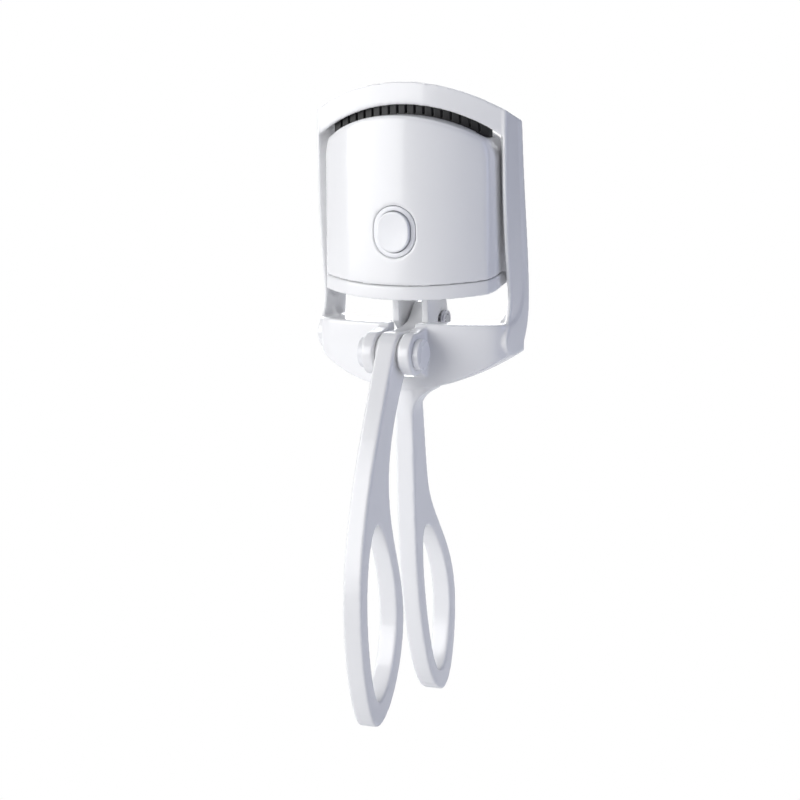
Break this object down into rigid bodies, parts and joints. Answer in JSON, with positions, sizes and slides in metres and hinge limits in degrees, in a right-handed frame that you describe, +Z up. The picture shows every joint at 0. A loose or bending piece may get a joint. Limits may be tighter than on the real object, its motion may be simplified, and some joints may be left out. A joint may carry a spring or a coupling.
{
  "type": "heated eyelash curler",
  "caption": "Hand-held heated eyelash curler: arched frame with finger loops, powered comb carriage that slides up to the top bar.",
  "frame": {"origin": "centre of the finger loop of the fixed rear handle", "axes": "+Z up toward the arched top bar, -Y toward the front with the power button, X across along the hinge pin"},
  "size_m": [0.0392, 0.0435, 0.1182],
  "materials": {
    "white_gloss": "glossy moulded white",
    "pad_silicone": "matte silicone",
    "pin_plastic": "glossy moulded white",
    "washer_plastic": "low-friction plastic",
    "bright_steel": "bright steel",
    "clip_plastic": "satin",
    "button_plastic": "glossy",
    "ring_plastic": "glossy translucent white",
    "black_comb": "satin black heat-resistant plastic",
    "carrier_plastic": "heat-resistant moulding",
    "heater_metal": "plain rolled",
    "film_amber": "polyimide film",
    "bead_epoxy": "dipped bead",
    "mica_sheet": "pressed sheet",
    "cell_wrap": "shrink sleeve",
    "board_green": "solder mask",
    "switch_black": "moulded",
    "led_lens": "clear lens"
  },
  "bodies": {
    "frame_body": {"frame": "white_gloss", "clamp_pad": "pad_silicone", "hinge_pin": "pin_plastic", "hinge_cap": "pin_plastic"},
    "handle_body": {"front_handle": "white_gloss", "hinge_washers": "washer_plastic", "link_pin": "bright_steel", "link_clips": "clip_plastic"},
    "carriage_body": {"housing_front": "white_gloss", "housing_back": "white_gloss", "base_cap": "white_gloss", "button_ring": "ring_plastic", "comb": "black_comb", "comb_carrier": "carrier_plastic", "heater_plate": "heater_metal", "heater_film": "film_amber", "thermistor": "bead_epoxy", "insulator": "mica_sheet", "battery": "cell_wrap", "circuit_board": "board_green", "tact_switch": "switch_black", "status_led": "led_lens", "charge_socket": "bright_steel", "housing_screws": "bright_steel", "base_screws": "bright_steel"},
    "button_body": {"power_button": "button_plastic"}
  },
  "joints": [
    {"name": "handle_hinge", "type": "hinge", "parent": "frame_body", "child": "handle_body", "pos_m": [0, -0.0152, 0.0495], "axis": [1, 0, 0], "range_deg": [-13, 6]},
    {"name": "carriage_slide", "type": "slide", "parent": "frame_body", "child": "carriage_body", "axis": [0, 0, 1], "range_m": [-0.00334, 0.00155]},
    {"name": "button_press", "type": "slide", "parent": "carriage_body", "child": "button_body", "axis": [0, 1, 0], "range_m": [0, 0.0005], "stiffness_N_per_m": 800, "springref_m": -0.0005}
  ],
  "couplings": [
    {"joint": "carriage_slide", "follows": "handle_hinge", "m_per_rad": 0.01465}
  ]
}
